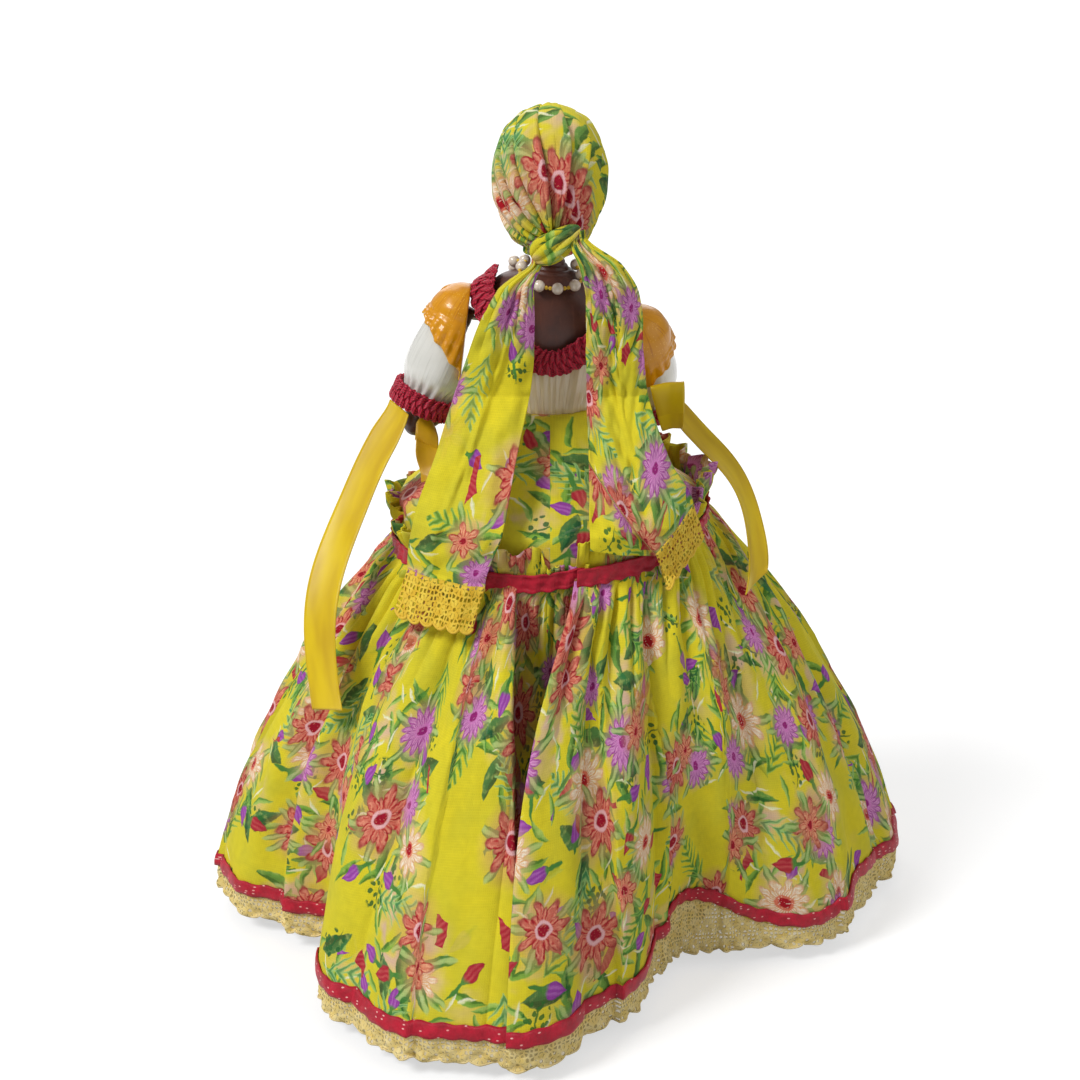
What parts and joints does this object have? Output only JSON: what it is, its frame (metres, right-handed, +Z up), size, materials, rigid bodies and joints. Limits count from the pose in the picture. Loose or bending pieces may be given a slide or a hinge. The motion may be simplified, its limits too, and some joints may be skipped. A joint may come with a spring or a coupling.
{
  "type": "folk doll",
  "caption": "Free-standing folk doll in a gathered floral dress and headscarf, on a hidden cone stand; head and arms turn.",
  "frame": {"origin": "centre of the underside of the cardboard base disc, on the floor", "axes": "+Z up through the dowel, -Y the way the doll faces, +X to the doll's left"},
  "size_m": [0.2567, 0.2592, 0.2992],
  "materials": {
    "cardboard": "matte",
    "wood": "satin",
    "skin": "satin",
    "white_husk": "gloss",
    "amber": "gloss",
    "floral": "matte",
    "red_braid": "satin",
    "red_ribbon": "satin",
    "yellow_satin": "satin",
    "cream_lace": "matte",
    "gold_lace": "matte",
    "pearl": "gloss",
    "wire": "satin"
  },
  "bodies": {
    "body": {"base_disc": "cardboard", "stand_cone": "cardboard", "dowel": "wood", "torso": "skin", "blouse": "white_husk", "neckline_braid": "red_braid", "necklace": "pearl", "yoke": "floral", "skirt": "floral", "waist_ribbon": "red_ribbon", "hem_ribbon": "red_ribbon", "hem_lace": "cream_lace", "arm_wire": "wire", "scarf_tail_left": "floral", "scarf_tail_right": "floral", "tail_lace_left": "gold_lace", "tail_lace_right": "gold_lace"},
    "head_body": {"head": "skin", "headwrap": "floral", "scarf_knot": "floral"},
    "left_arm": {"arm_left": "skin", "sleeve_left": "white_husk", "shoulder_cap_left": "amber", "cuff_braid_left": "red_braid", "streamer_left": "yellow_satin", "inner_tail_left": "yellow_satin"},
    "right_arm": {"arm_right": "skin", "sleeve_right": "white_husk", "shoulder_cap_right": "amber", "cuff_braid_right": "red_braid", "streamer_right": "yellow_satin", "bow_loop_right": "yellow_satin"}
  },
  "joints": [
    {"name": "head_turn", "type": "hinge", "parent": "body", "child": "head_body", "pos_m": [0, 0, 0.2491], "axis": [0, 0, 1], "range_deg": [-30, 30], "deforming": ["scarf_tail_left", "scarf_tail_right"]},
    {"name": "left_shoulder", "type": "hinge", "parent": "body", "child": "left_arm", "pos_m": [0.03107, 0, 0.22581], "axis": [-0.9925, 0, -0.1219], "range_deg": [0, 60], "deforming": ["streamer_left", "inner_tail_left"]},
    {"name": "right_shoulder", "type": "hinge", "parent": "body", "child": "right_arm", "pos_m": [-0.03107, 0, 0.21818], "axis": [-0.9925, 0, -0.1219], "range_deg": [0, 45], "deforming": ["streamer_right"]}
  ]
}
